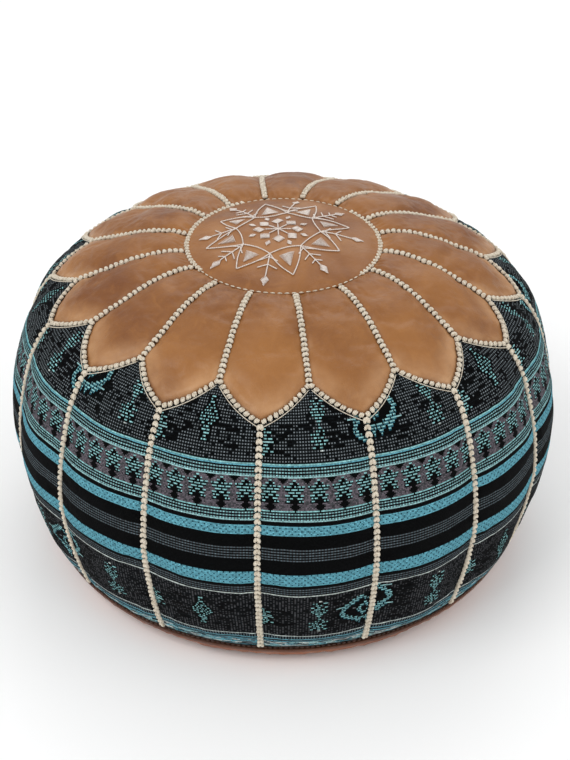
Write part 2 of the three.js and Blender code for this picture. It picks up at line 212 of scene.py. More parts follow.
def pinned_places(q, length):
    """1 where the stuffed skin is held by a seam, else 0. q counts radial seams round the pouf."""
    near = 3.5 * MM
    across = q % 1
    share = 1 - np.abs(2 * across - 1)
    from_radial = np.minimum(across, 1 - across) * PITCH * radius_at(length)
    from_side = np.abs(across - 0.5) * PITCH * radius_at(length)
    from_arch = np.abs(length - arch_length(share)) * 0.7
    held = (from_radial < near) & (length < ARCH_TOP)
    held |= (from_side < near) & (length > PETAL_TIP)
    held |= from_arch < near
    return held | (length < 1 * MM) | (length > OUTLINE_LENGTH - 1 * MM)


def stuffed_field():
    """How far stuffing pushes the skin past its seams, on a grid of rows down and columns round.

    A slightly oversize cloth is held at the seams and blown up, so that it bulges and puckers.
    """
    lengths = np.linspace(0, OUTLINE_LENGTH, FIELD_ROWS)
    q = np.arange(FIELD_COLUMNS) / FIELD_COLUMNS * SECTORS
    q_grid, length_grid = np.meshgrid(q, lengths)
    q_grid, length_grid = q_grid.ravel(), length_grid.ravel()
    start = on_surface(seam_angle(q_grid, length_grid), length_grid, 0)
    skin = mesh_object("stuffed_skin", start, ring_quads(FIELD_ROWS, FIELD_COLUMNS), None)
    random = np.random.default_rng(5)
    skin.data.vertices.foreach_set("co", (start + random.normal(0, 0.15 * MM, start.shape)).ravel())
    pins = skin.vertex_groups.new(name="pins")
    pins.add([int(k) for k in np.flatnonzero(pinned_places(q_grid, length_grid))], 1.0, "REPLACE")
    cloth = skin.modifiers.new("Cloth", "CLOTH")
    settings = cloth.settings
    settings.vertex_group_mass = "pins"
    settings.use_pressure = True
    settings.uniform_pressure_force = 4
    settings.effector_weights.gravity = 0
    settings.shrink_min = -0.035
    settings.quality = 6
    settings.tension_stiffness = 25
    settings.compression_stiffness = 25
    settings.shear_stiffness = 8
    settings.bending_stiffness = 0.15
    cloth.collision_settings.use_collision = False
    cloth.point_cache.frame_end = SIMULATION_STEPS
    scene = bpy.context.scene
    for step in range(1, SIMULATION_STEPS + 1):
        scene.frame_set(step)
    blown = np.empty(len(start) * 3)
    result = skin.evaluated_get(bpy.context.evaluated_depsgraph_get()).to_mesh()
    result.vertices.foreach_get("co", blown)
    normal = on_surface(seam_angle(q_grid, length_grid), length_grid, 1) - start
    raised = ((blown.reshape(-1, 3) - start) * normal).sum(1)
    scene.frame_set(1)
    bpy.data.objects.remove(skin, do_unlink=True)
    return np.clip(raised, -1 * MM, FIELD_CAP).reshape(FIELD_ROWS, FIELD_COLUMNS)


def field_at(field, q, length):
    """The field between its grid points."""
    column = (q % SECTORS) / SECTORS * FIELD_COLUMNS
    row = np.clip(length / OUTLINE_LENGTH, 0, 1) * (FIELD_ROWS - 1)
    c0, r0 = np.floor(column).astype(int), np.minimum(np.floor(row).astype(int), FIELD_ROWS - 2)
    u, v = column - c0, row - r0
    u, v = u * u * (3 - 2 * u), v * v * (3 - 2 * v)
    c0, c1 = c0 % FIELD_COLUMNS, (c0 + 1) % FIELD_COLUMNS
    upper = field[r0, c0] * (1 - u) + field[r0, c1] * u
    lower = field[r0 + 1, c0] * (1 - u) + field[r0 + 1, c1] * u
    return upper * (1 - v) + lower * v


# Meshes ---------------------------------------------------------------------------------------------


def mesh_object(name, points, faces, material, smooth_shaded=True):
    """A mesh from points and an array of faces that all have the same number of corners."""
    faces = np.asarray(faces, np.int32)
    mesh = bpy.data.meshes.new(name)
    mesh.vertices.add(len(points))
    mesh.vertices.foreach_set("co", np.asarray(points, np.float32).ravel())
    mesh.loops.add(faces.size)
    mesh.loops.foreach_set("vertex_index", faces.ravel())
    mesh.polygons.add(len(faces))
    mesh.polygons.foreach_set("loop_start", np.arange(0, faces.size, faces.shape[1], dtype=np.int32))
    mesh.polygons.foreach_set("use_smooth", np.full(len(faces), smooth_shaded))
    mesh.update(calc_edges=True)
    if material:
        mesh.materials.append(material)
    obj = bpy.data.objects.new(name, mesh)
    bpy.context.scene.collection.objects.link(obj)
    return obj


def grid_quads(columns, rows):
    row, column = np.divmod(np.arange((rows - 1) * (columns - 1)), columns - 1)
    a = row * columns + column
    return np.stack((a, a + columns, a + columns + 1, a + 1), 1)


def ring_quads(rings, spokes):
    """Faces between rings of points, each ring closed on itself."""
    ring, spoke = np.divmod(np.arange((rings - 1) * spokes), spokes)
    a, b = ring * spokes + spoke, ring * spokes + (spoke + 1) % spokes
    return np.stack((a, a + spokes, b + spokes, b), 1)


def close_rings(obj, rings, smooth_shaded):
    """Closes a mesh with one face over each of these rings of its points."""
    closed = bmesh.new()
    closed.from_mesh(obj.data)
    closed.verts.ensure_lookup_table()
    for ring in rings:
        closed.faces.new([closed.verts[k] for k in ring]).smooth = smooth_shaded
    bmesh.ops.recalc_face_normals(closed, faces=closed.faces)
    closed.to_mesh(obj.data)
    closed.free()


def thick_grid(name, outer, inner, columns, rows, material):
    """A closed sheet from the grids of its outer and inner faces."""
    count = columns * rows
    front = grid_quads(columns, rows)
    edge = np.concatenate(
        (
            np.arange(rows - 1) * columns,
            (rows - 1) * columns + np.arange(columns - 1),
            np.arange(rows - 1, 0, -1) * columns + columns - 1,
            np.arange(columns - 1, 0, -1),
        )
    )
    after = np.roll(edge, -1)
    walls = np.stack((after, edge, edge + count, after + count), 1)
    faces = np.vstack((front, (front + count)[:, ::-1], walls))
    return mesh_object(name, np.vstack((outer, inner)), faces, material)


def face_colours(mesh, name, colours):
    """Stores one colour for each face, on its corners."""
    layer = mesh.color_attributes.new(name, "FLOAT_COLOR", "CORNER")
    corners = np.empty(len(mesh.polygons), np.int32)
    mesh.polygons.foreach_get("loop_total", corners)
    filled = np.ones((corners.sum(), 4), np.float32)
    filled[:, :3] = np.repeat(colours, corners, axis=0)
    layer.data.foreach_set("color", filled.ravel())


def point_values(mesh, name, values):
    layer = mesh.attributes.new(name, "FLOAT", "POINT")
    layer.data.foreach_set("value", np.asarray(values, np.float32))


def stand_for(obj, body, *nodes, slot=None):
    """Makes a piece ride on its body and take the place of CAD nodes."""
    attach(obj, body)
    if nodes:
        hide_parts(*nodes)
    return obj


# Materials ------------------------------------------------------------------------------------------


class Shader:
    """A small helper for building one material's nodes."""

    def __init__(self, name):
        self.material = bpy.data.materials.new(name)
        self.material.use_nodes = True
        self.nodes = self.material.node_tree.nodes
        self.links = self.material.node_tree.links
        self.bsdf = self.nodes["Principled BSDF"]

    def node(self, kind, inputs=None, **settings):
        made = self.nodes.new("ShaderNode" + kind)
        for key, value in settings.items():
            setattr(made, key, value)
        for key, value in (inputs or {}).items():
            self.put(value, made.inputs[key])
        return made

    def put(self, value, socket):
        """Links an output or sets a plain value."""
        if isinstance(value, bpy.types.NodeSocket):
            self.links.new(value, socket)
        else:
            socket.default_value = value

    def set(self, **values):
        for key, value in values.items():
            self.put(value, self.bsdf.inputs[key.replace("_", " ")])

    def place(self):
        return self.node("TexCoord").outputs["Object"]

    def noise(self, scale, detail=4, roughness=0.55, distortion=0.0):
        inputs = {"Scale": scale, "Detail": detail, "Roughness": roughness, "Distortion": distortion}
        inputs["Vector"] = self.place()
        return self.node("TexNoise", inputs).outputs["Fac"]

    def voronoi(self, scale):
        return self.node("TexVoronoi", {"Scale": scale, "Vector": self.place()}).outputs["Distance"]

    def math(self, operation, a, b=0.0):
        return self.node("Math", {0: a, 1: b}, operation=operation).outputs[0]

    def stretch(self, value, from_low, from_high, to_low=0.0, to_high=1.0):
        inputs = {"Value": value, "From Min": from_low, "From Max": from_high}
        inputs.update({"To Min": to_low, "To Max": to_high})
        return self.node("MapRange", inputs).outputs["Result"]

    def mix(self, factor, a, b, blend="MIX"):
        mixer = self.node("Mix", data_type="RGBA", blend_type=blend)
        self.put(factor, mixer.inputs[0])
        self.put(a, mixer.inputs[6])
        self.put(b, mixer.inputs[7])
        return mixer.outputs[2]

    def value(self, name):
        return self.node("Attribute", attribute_name=name).outputs["Fac"]

    def bump(self, height, distance, strength=1.0, normal=None):
        inputs = {"Height": height, "Distance": distance, "Strength": strength}
        made = self.node("Bump", inputs)
        if normal:
            self.put(normal, made.inputs["Normal"])
        return made.outputs["Normal"]


def rgb(red, green, blue):
    """An sRGB colour from 0 to 255 as the linear colour that shaders take."""
    scaled = np.array([red, green, blue]) / 255
    linear = np.where(scaled <= 0.04045, scaled / 12.92, ((scaled + 0.055) / 1.055) ** 2.4)
    return (*linear.tolist(), 1.0)


def leather_material(name, dark, middle, light, rub, roughness):
    """Waxed, hand-dyed leather: blotched dye, fine pores, creases, paler rubbed places and painted shade by
    the seams.
    """
    s = Shader(name)
    blotches = s.noise(14, 5, 0.6, distortion=0.6)
    streaks = s.noise(55, 4, 0.65, distortion=1.2)
    colour = s.mix(s.stretch(blotches, 0.34, 0.66), dark, middle)
    colour = s.mix(s.stretch(streaks, 0.5, 0.75, 0, 0.45), colour, light)
    colour = s.mix(s.stretch(s.noise(7, 3), 0.42, 0.68, 0, 0.5), colour, light)
    worn = s.math("MULTIPLY", s.value("wear"), s.stretch(s.noise(30, 4), 0.35, 0.65, 0.25, 1))
    colour = s.mix(worn, colour, rub)
    # Painted shade: the seam-shade value darkens the dyed colour, down to 30 percent of it where the value
    # is 1.
    shade = s.stretch(s.value("painted_seam_shade"), 0, 1, 1, 0.3)
    grey = s.node("CombineColor", {0: shade, 1: shade, 2: shade}).outputs[0]
    shaded = s.mix(1.0, colour, grey, "MULTIPLY")
    pores = s.voronoi(900)
    creases = s.noise(260, 6, 0.7, distortion=0.8)
    normal = s.bump(creases, 0.0009, 0.35)
    normal = s.bump(pores, 0.0003, 0.45, normal)
    normal = s.bump(s.noise(38, 4, 0.6, distortion=1.0), 0.004, 0.3, normal)
    s.set(Base_Color=shaded, Normal=normal)
    s.set(Roughness=s.stretch(s.noise(45, 5), 0.3, 0.7, roughness - 0.08, roughness + 0.14))
    s.set(Specular_IOR_Level=0.34, Coat_Weight=0.05, Coat_Roughness=0.3)
    return s.material


def thread_material(name, light, dark, twist_scale, roughness=0.75):
    """Spun cotton: fine slanting plies and a little soiling."""
    s = Shader(name)
    plies = s.node("TexWave", {"Scale": twist_scale, "Distortion": 3.0, "Detail": 2.0, "Vector": s.place()})
    colour = s.mix(s.stretch(plies.outputs["Fac"], 0, 1, 0, 0.6), light, dark)
    colour = s.mix(s.stretch(s.noise(520, 3), 0.48, 0.66, 0, 0.75), colour, dark)
    normal = s.bump(plies.outputs["Fac"], 0.0006, 0.6)
    s.set(Base_Color=colour, Roughness=roughness, Normal=s.bump(s.noise(1500, 3), 0.0003, 0.5, normal))
    s.set(Sheen_Weight=0.15)
    return s.material


def woven_material():
    """Jacquard cloth: each face holds its yarn's colour, ribs follow the weave's rows, and painted shade
    darkens the dips between them.
    """
    s = Shader("woven_cloth")
    colour = s.node("Attribute", attribute_name="yarn").outputs["Color"]
    weave = s.node("SeparateXYZ", {0: s.node("UVMap", uv_map="weave").outputs["UV"]})
    across, down = weave.outputs["X"], weave.outputs["Y"]
    rib = s.math("ABSOLUTE", s.math("SINE", s.math("MULTIPLY", down, math.pi)))
    thread = s.math("ABSOLUTE", s.math("SINE", s.math("MULTIPLY", across, math.pi)))
    height = s.math("MULTIPLY", rib, s.stretch(thread, 0, 1, 0.7, 1))
    fibres = s.noise(1600, 3)
    # A random fibre tone, times painted shade that darkens the dips between the ribs and threads.
    fibre_tone_and_rib_shade = s.stretch(fibres, 0.3, 0.7, 0.72, 1.25)
    fibre_tone_and_rib_shade = s.math("MULTIPLY", fibre_tone_and_rib_shade, s.stretch(height, 0, 1, 0.55, 1.15))
    shaded = s.mix(1.0, colour, s.node("CombineColor", {0: fibre_tone_and_rib_shade, 1: fibre_tone_and_rib_shade, 2: fibre_tone_and_rib_shade}).outputs[0], "MULTIPLY")
    normal = s.bump(height, 0.0007, 0.8)
    s.set(Base_Color=shaded, Roughness=0.85, Normal=s.bump(fibres, 0.0003, 0.4, normal))
    s.set(Specular_IOR_Level=0.05)
    return s.material


def plain_weave_material(name, light, dark, scale):
    """Plain woven cotton with slubs."""
    s = Shader(name)
    place = s.place()
    bands = [
        s.node("TexWave", {"Scale": scale, "Distortion": 0.6, "Vector": place}, bands_direction=way)
        for way in ("X", "Y")
    ]
    woven = s.math("MULTIPLY", bands[0].outputs["Fac"], bands[1].outputs["Fac"])
    colour = s.mix(s.math("MULTIPLY", woven, s.noise(40, 4)), dark, light)
    s.set(Base_Color=colour, Roughness=0.95, Normal=s.bump(woven, 0.0005, 0.6))
    return s.material


def brass_material():
    """Antiqued brass: brown in random tarnished patches, brighter and smoother between them."""
    s = Shader("antique_brass")
    tarnish = s.stretch(s.noise(180, 5, 0.7), 0.4, 0.65)
    s.set(Base_Color=s.mix(tarnish, rgb(196, 158, 92), rgb(112, 80, 44)))
    s.set(Roughness=s.stretch(tarnish, 0, 1, 0.28, 0.5), Normal=s.bump(s.noise(700, 3), 0.0002, 0.4))
    s.set(Metallic=1)
    return s.material


tan = leather_material(
    "tan_leather", rgb(112, 64, 24), rgb(141, 90, 40), rgb(160, 107, 54), rgb(190, 146, 104), 0.42
)
brown = leather_material(
    "brown_leather", rgb(118, 60, 28), rgb(152, 84, 44), rgb(164, 98, 56), rgb(180, 122, 82), 0.46
)
ivory = thread_material("ivory_thread", rgb(250, 242, 224), rgb(186, 166, 138), 700)
silver = thread_material("silver_thread", rgb(255, 247, 240), rgb(222, 200, 184), 900, 0.45)
russet = thread_material("russet_thread", rgb(92, 50, 28), rgb(60, 30, 16), 700)
woven = woven_material()
calico = plain_weave_material("calico", rgb(222, 212, 190), rgb(176, 164, 140), 500)
tape_cloth = plain_weave_material("zip_tape", rgb(70, 44, 28), rgb(40, 24, 14), 700)
brass = brass_material()


# Weaving chart --------------------------------------------------------------------------------------

YARNS = {
    "k": (5, 6, 7),  # black
    "g": (12, 15, 17),  # charcoal ground
    "d": (108, 116, 120),  # grey specks of the ground
    "m": (98, 92, 99),  # mid grey ground of the lozenge band
    "n": (66, 67, 70),
    "s": (84, 98, 104),  # slate
    "t": (98, 162, 178),  # teal
    "a": (134, 186, 188),  # aqua, for the motifs
    "u": (38, 84, 98),  # deep teal
    "p": (146, 188, 190),  # pale aqua
    "w": (188, 198, 195),  # off-white
}

# Each motif's rows are teal floats, with a dark row woven between them.
KITE = [
    ".......ttt.......",
    ".......tt........",
    ".......ttt.......",
    "......t...t......",
    ".....t.ttt.t.....",
    "....t.t.t.t.tt...",
    "..tt.t.ttt.t.tt..",
    ".tt.ttt.t.ttt.tt.",
    "..tt.t.ttt.t.tt..",
    "....tt.t.t.t.....",
    "......t.ttt......",
    ".....ttt.tt......",
    "......ttttt......",
    ".......tt........",
    "......tttt.......",
]
HOURGLASS = [
    "......ww.....",
    "..ttt....ttt.",
    "....tttt.....",
    ".tt.ttt..ttt.",
    "...tttt.tt...",
    "ttt.ttt..ttt.",
    "..ttttttttt..",
    "....ttttt....",
    ".....ttt.....",
    "......t......",
    ".....ttt.....",
    "...tt.t.tt...",
    "ttt.ttt..tttt",
    "..tttt.ttt...",
    "tttt.ttt.tttt",
    "...tt.tt.tt..",
    ".ttt..tt..ttt",
    "......ww.....",
]
EYE = [
    "..............ttttt......ttttt............",
    "...........tttttttttt..tttttttttpppppp....",
    ".........tttttttkkkkttttkkkkkttttt........",
    "......tttttttkkkkkkkkkkkkkkkkkkttttt......",
    "ppppttttttkkkkkkkkkkttkkkkkkkkkkkttttt....",
    "....tttttkkkkkkkktttttttkkkkkkkkkkttttt...",
    "...ttttkkkkkddkktttkkktttkkddkkkkkktttt...",
    "...tttkkkkkkkkktttkkkkktttkkkkkkkkkktttt..",
    "...ttttkkkkkkkkktttkkktttkkkkkkkkkktttt...",
    "....tttttkkkkkkkktttttttkkkkkkkkkttttt....",
    "......ttttttkkkkkkkttkkkkkkkkkttttttt.....",
    ".........tttttttkkkkkkkkkktttttttttttpppp.",
    "............ttttttttttttttttttttttt.......",
    "..............tttttt.tttttt.ttttt.........",
    "................ttt...ttt....ttt..........",
    "..................t....t..................",
]
FLOATS = [
    "ttt......",
    "..ttttt..",
    "tttt.....",
    "..tttttt.",
    "ppppppppp",
    "..ttt....",
    "tttttt...",
    "..ttt.ttt",
    "ttt......",
]
LOZENGE = [
    "......tt......",
    "....tt..tt....",
    "ttttt.tt.ttttt",
    ".ttt.tttt.ttt.",
    "...tttttttt...",
    ".ttt.tttt.ttt.",
    "..tttt..tttt..",
    ".ttt......ttt.",
]


def smudges(chart, low, high, middle, half, random, count, spread):
    """Short black floats that trail off to both sides of a motif."""
    for _ in range(count):
        row = int(random.uniform(low, high))
        length = int(random.uniform(3, 9))
        side = random.choice((-1, 1))
        start = int(middle + side * (half + random.uniform(0, spread)) - length / 2)
        for column in range(start, start + length):
            chart[row % chart.shape[0], column % chart.shape[1]] = "k"


def stamp(chart, motif, middle, top, halo=2, teal="a", between="k"):
    """Weaves a motif into the chart, over black floats that reach past its teal ones."""
    columns = chart.shape[1]
    left = middle - len(motif[0]) // 2
    for r, line in enumerate(motif):
        marked = [c for c, letter in enumerate(line) if letter != "."]
        if not marked:
            continue
        for row in (top + 2 * r, top + 2 * r + 1):
            for c in range(marked[0] - halo, marked[-1] + halo + 1):
                chart[row, (left + c) % columns] = "k"
        for c in marked:
            if line[c] != "t" or (c + 2 * r) % 5:
                chart[top + 2 * r, (left + c) % columns] = teal if line[c] == "t" else line[c]
                if line[c] == "t":
                    chart[top + 2 * r + 1, (left + c) % columns] = between


PANEL_COLUMNS = 78
CHART_COLUMNS = PANEL_COLUMNS * SECTORS
CLOTH_TOP = ARCH_TOP  # row 0 of the cloth lies at the arches' tops
CHART_ROWS = int((OUTLINE_LENGTH - CLOTH_TOP) / CELL)


def row_of(depth):
    """The chart's row at a depth in millimetres below the arches' tops."""
    return int(round(depth * MM / CELL))


def weave_chart():
    """The cloth all round the pouf, as one letter for each yarn crossing.

    The bands' depths were measured on the photograph.
    """
    random = np.random.default_rng(11)
    row, column = np.mgrid[:CHART_ROWS, :CHART_COLUMNS]
    chart = np.full((CHART_ROWS, CHART_COLUMNS), "g")
    chart[(row % 2 == 0) & (column % 2 == 0)] = "d"
    chart[random.random(chart.shape) < 0.08] = "g"
    lower = slice(row_of(203.7), row_of(266))
    chart[lower] = np.where(column[lower] % 2 == 0, "n", "g")
    chart[lower][random.random(chart[lower].shape) < 0.45] = "g"

    def band(start, end, letters):
        """Fills rows from one depth to another, repeating letters down them."""
        for k, line in enumerate(range(row_of(start), min(row_of(end), CHART_ROWS))):
            chart[line] = letters[k % len(letters)]

    def pins(start, end, letter, between="k"):
        """Thin speckled lines with darker ones between them."""
        for k, line in enumerate(range(row_of(start), row_of(end))):
            chart[line] = letter if k % 2 else between
            chart[line, k % 4 :: 2] = "s" if k % 2 else between

    def teal_band(start, end):
        """A thick band with a small zigzag in it, and a scalloped lower edge."""
        first, last = row_of(start), row_of(end)
        zigzag = (column[first:last] + 2 * (row[first:last] // 2)) % 4 == 0
        chart[first:last] = np.where(zigzag & (row[first:last] % 2 == 1), "u", "t")
        chart[last, column[last] % 4 < 2] = "t"

    band(70.5, 73, "at")
    pins(73, 81, "a")
    band(81, 82.4, "p")
    band(82.4, 112, "m")
    ground = slice(row_of(82.4), row_of(112))
    chart[ground][random.random(chart[ground].shape) < 0.35] = "n"
    band(112.2, 114, "a")
    pins(114, 121, "a")
    band(121, 122.4, "p")
    band(122.4, 126.4, "gk")
    teal_band(126.4, 136.1)
    band(136.1, 148.6, "k")
    pins(148.6, 163.7, "n")
    band(163.7, 177.1, "k")
    teal_band(177.1, 190.5)
    band(190.5, 193, "k")
    pins(193, 202.3, "n", "g")
    band(202.3, 203.7, "w")
    band(266, 267.4, "w")
    ticks = slice(row_of(267.4), row_of(273))
    chart[ticks] = np.where(column[ticks] % 2 == 0, "s", "k")
    band(273, 279.5, "tsk")
    for line in range(row_of(279.5), CHART_ROWS):
        runs = random.integers(2, 9, CHART_COLUMNS // 2)
        letters = np.repeat(random.choice(list("ptsswk"), len(runs)), runs)
        chart[line] = letters[:CHART_COLUMNS]

    lozenge_pitch = 16
    for start in range(0, CHART_COLUMNS, lozenge_pitch):
        middle = start + lozenge_pitch // 2
        stamp(chart, LOZENGE, middle, row_of(83.7), halo=0)
        for k in range(4):
            columns = np.arange(start - 3 + k, start + 4 - k)
            chart[row_of(82.6) + k, columns % CHART_COLUMNS] = "k"
        for k in range(7):
            half = 3 - abs(3 - k)
            columns = np.arange(middle - half, middle + half + 1)
            chart[row_of(103.5) + k, columns % CHART_COLUMNS] = "k"

    for panel in range(SECTORS):
        middle = panel * PANEL_COLUMNS + PANEL_COLUMNS // 2
        turn = ((panel + 1 + SECTORS // 2) % SECTORS - SECTORS // 2) % 3
        if turn == 0:
            smudges(chart, row_of(12), row_of(60), middle, 10, random, 60, 14)
            stamp(chart, KITE, middle, row_of(16))
            smudges(chart, row_of(214), row_of(256), middle, 9, random, 50, 12)
            stamp(chart, KITE, middle, row_of(214))
        else:
            shift, lower_shift = (3, 1) if turn == 1 else (15, 8)
            smudges(chart, row_of(30), row_of(46), middle + shift, 4, random, 14, 8)
            stamp(chart, HOURGLASS, middle + shift, row_of(14), halo=0)
            stamp(chart, HOURGLASS, middle + lower_shift, row_of(211), halo=0)
        if turn != 2:
            start = panel * PANEL_COLUMNS + 5
            for low, high, top in ((36, 64, 40), (222, 250, 226)):
                smudges(chart, row_of(low), row_of(high), start + 2, 3, random, 40, 12)
                stamp(chart, FLOATS, start, row_of(top), halo=3)
        if turn == 1:
            edge = (panel + 1) * PANEL_COLUMNS
            eyes = ((8, 62, 26, 12, 14), (206, 260, 214, 204, 26))
            for low, high, left_top, right_top, split in eyes:
                smudges(chart, row_of(low), row_of(high), edge, 14, random, 120, 16)
                left, right = [line[:split] for line in EYE], [line[split:] for line in EYE]
                stamp(chart, left, edge - split + len(left[0]) // 2, row_of(left_top), 3, "a", "u")
                stamp(chart, right, edge + len(right[0]) // 2, row_of(right_top), 3, "a", "u")
    return chart


# Skins ----------------------------------------------------------------------------------------------


def petal(k, field):
    """A leather petal from the medallion's rim to its pointed tip."""
    columns, rows = 41, 66
    across, down = np.meshgrid(np.linspace(0, 1, columns), 1 - (1 - np.linspace(0, 1, rows)) ** 1.15)
    across, down = across.ravel(), down.ravel()
    share = 1 - np.abs(2 * across - 1)
    length = down * arch_length(share)
    start, end = seam_angle(k, length), seam_angle(k + 1, length)
    angle = start + across * (end - start)
    lateral = np.minimum(across, 1 - across) * (end - start) * radius_at(length)
    from_arch = (arch_length(share) - length) * ARCH_SLANT
    lateral += 40 * MM * smooth(ARCH_TOP, ARCH_TOP + 6 * MM, length)
    edge = np.minimum(lateral, np.minimum(from_arch, length))
    puffed = 0.55 * PETAL_PUFF * np.sin(math.pi * across) ** 0.8 * smooth(0, 40 * MM, from_arch)
    raised = puffed * smooth(0, 25 * MM, length) + 0.6 * field_at(field, k + across, length)
    flat = on_surface(angle, length)
    raised += smooth(0, 14 * MM, edge) * 0.7 * MM * bumps(flat, 3 * k + 1, 38 * MM)
    tugs = np.sin(length / (4.4 * MM) + 2 * bumps(flat, k + 50, 30 * MM))
    raised += 0.35 * MM * tugs * smooth(13 * MM, 3 * MM, edge) * smooth(0, 3 * MM, edge)
    gathers = np.sin(across * 34 + 3 * bumps(flat, k + 70, 26 * MM))
    raised += 0.5 * MM * gathers * smooth(22 * MM, 4 * MM, length) * smooth(0, 4 * MM, length)
    raised += np.minimum(groove(lateral, 2.2 * MM, 3.6 * MM), groove(from_arch, 2.0 * MM, 3.6 * MM))
    raised += groove(length, 1.0 * MM, 2.5 * MM)
    outer = on_surface(angle, length, raised)
    inner = on_surface(angle, length, raised - LEATHER)
    obj = thick_grid(f"petal_{k + 1:02d}", outer, inner, columns, rows, tan)
    tip = smooth(38 * MM, 4 * MM, arch_length(share) - length) * smooth(0, 5 * MM, edge)
    wear = np.clip(0.75 * tip + 0.3 * smooth(10 * MM, 2 * MM, edge) * bumps(flat, k + 90, 20 * MM), 0, 1)
    # Painted shade along the petal's seams, and a weaker band of it at the medallion's rim.
    painted_seam_shade = smooth(4.5 * MM, 0, np.minimum(lateral, from_arch)) + 0.25 * smooth(3 * MM, 0, length)
    point_values(obj.data, "wear", np.tile(wear, 2))
    point_values(obj.data, "painted_seam_shade", np.tile(painted_seam_shade, 2))
    stand_for(obj, BODY, f"top_petal_{k + 1:02d}", slot="top_leather")


def side_panel(k, field, chart):
    """A woven panel, with a face for every yarn crossing and painted shade along its seams."""
    columns, rows = PANEL_COLUMNS + 1, CHART_ROWS + 1
    across, row = np.meshgrid(np.linspace(0, 1, columns), np.arange(rows))
    across, row = across.ravel(), row.ravel()
    arch = arch_length(np.abs(2 * across - 1))
    woven_length = CLOTH_TOP + row * (OUTLINE_LENGTH - CLOTH_TOP) / CHART_ROWS
    length = np.maximum(woven_length, arch)
    angle = seam_angle(k - 0.5 + across, np.maximum(length, ARCH_TOP))
    lateral = np.minimum(across, 1 - across) * PITCH * radius_at(length)
    from_arch = (length - arch) * ARCH_SLANT
    from_base = OUTLINE_LENGTH - length
    edge = np.minimum(np.minimum(lateral, from_arch), from_base)
    from_ends = np.minimum(from_arch, from_base)
    puffed = 0.5 * PANEL_PUFF * np.sin(math.pi * across) * smooth(0, 45 * MM, from_ends)
    raised = puffed + 0.4 * field_at(field, k - 0.5 + across, length)
    flat = on_surface(angle, length)
    raised += smooth(0, 14 * MM, edge) * 0.5 * MM * bumps(flat, 5 * k + 2, 45 * MM)
    raised += np.minimum(groove(lateral, 0.8 * MM, 3 * MM), groove(from_arch, 1.8 * MM, 3.4 * MM))
    raised += groove(from_base, 1.5 * MM, 4 * MM)
    cells = chart[:, k * PANEL_COLUMNS : (k + 1) * PANEL_COLUMNS]
    height = np.select([np.isin(cells, list("taupw")), cells == "k", cells == "d"], [1, 0.45, 0.6], 0.0)
    padded = np.pad(height, 1, mode="edge")
    corner = (padded[:-1, :-1] + padded[1:, :-1] + padded[:-1, 1:] + padded[1:, 1:]) / 4
    raised += YARN_RISE * corner.ravel()
    quads = grid_quads(columns, rows)
    kept = np.ptp(length[quads], axis=1) > 0.02 * MM
    outer = on_surface(angle, length, raised)
    obj = mesh_object(f"panel_{k + 1:02d}", outer, quads[kept], woven)
    random = np.random.default_rng(100 + k)
    letters = sorted(YARNS)
    palette = np.array([rgb(*YARNS[letter])[:3] for letter in letters])
    index = np.searchsorted(letters, cells.ravel())
    colours = palette[index] * random.normal(1, 0.2, (len(index), 1)).clip(0.5, 1.7)
    # Painted shade: the yarn colours darken, by up to 60 percent, within 5 mm of the seams and the base.
    dark = smooth(5 * MM, 0, edge)[quads].mean(1)
    colours *= 1 - 0.6 * dark[:, None]
    face_colours(obj.data, "yarn", colours[kept])
    layer = obj.data.uv_layers.new(name="weave")
    corners = quads[kept].ravel()
    uv = np.stack((across * PANEL_COLUMNS, row.astype(float)), 1)[corners]
    layer.data.foreach_set("uv", uv.astype(np.float32).ravel())
    stand_for(obj, BODY, f"side_panel_{k + 1:02d}", slot="woven_cloth")


def medallion():
    """The domed leather medallion, with small random hills and gathers near its rim."""
    rings, spokes = 46, 144
    radius = (MEDALLION_RADIUS + RIM_OVERLAP) * (1 - (1 - np.linspace(0.004, 1, rings)) ** 1.2)
    radius, angle = np.meshgrid(radius, np.linspace(0, 2 * math.pi, spokes + 1)[:-1], indexing="ij")
    radius, angle = radius.ravel(), angle.ravel()
    edge = MEDALLION_RADIUS + RIM_OVERLAP - radius
    height = dome_height(radius) + groove(edge, 0.5 * MM, 2 * MM)
    flat = polar(radius, angle, height)
    height += 0.9 * MM * bumps(flat, 31, 45 * MM) * smooth(0, 12 * MM, edge)
    gathers = np.sin(angle * 46 + 2.5 * bumps(flat, 32, 30 * MM))
    height += 0.3 * MM * gathers * smooth(14 * MM, 2 * MM, edge) * smooth(0, 3 * MM, edge)
    top = polar(radius, angle, height)
    obj = mesh_object("medallion", top, ring_quads(rings, spokes), tan)
    close_rings(obj, [range(spokes)], True)
    point_values(obj.data, "wear", 0.25 * smooth(0, 0.9, bumps(flat, 33, 60 * MM)))
    # Painted shade, at a quarter strength, in the last 3 mm before the rim.
    point_values(obj.data, "painted_seam_shade", 0.25 * smooth(3 * MM, 0, edge))
    thicken(obj, LEATHER)
    stand_for(obj, BODY, "top_medallion", slot="top_leather")


def thicken(obj, thickness):
    """Gives a one-sided sheet its thickness, inwards."""
    solid = obj.modifiers.new("Thickness", "SOLIDIFY")
    solid.thickness = thickness
    solid.offset = -1


# Stitches -------------------------------------------------------------------------------------------


def lobe_template():
    """A unit ball as points and triangles."""
    ball = bmesh.new()
    bmesh.ops.create_icosphere(ball, subdivisions=2, radius=1)
    points = np.array([vertex.co[:] for vertex in ball.verts])
    faces = np.array([[vertex.index for vertex in face.verts] for face in ball.faces])
    ball.free()
    return points, faces


LOBE_POINTS, LOBE_FACES = lobe_template()


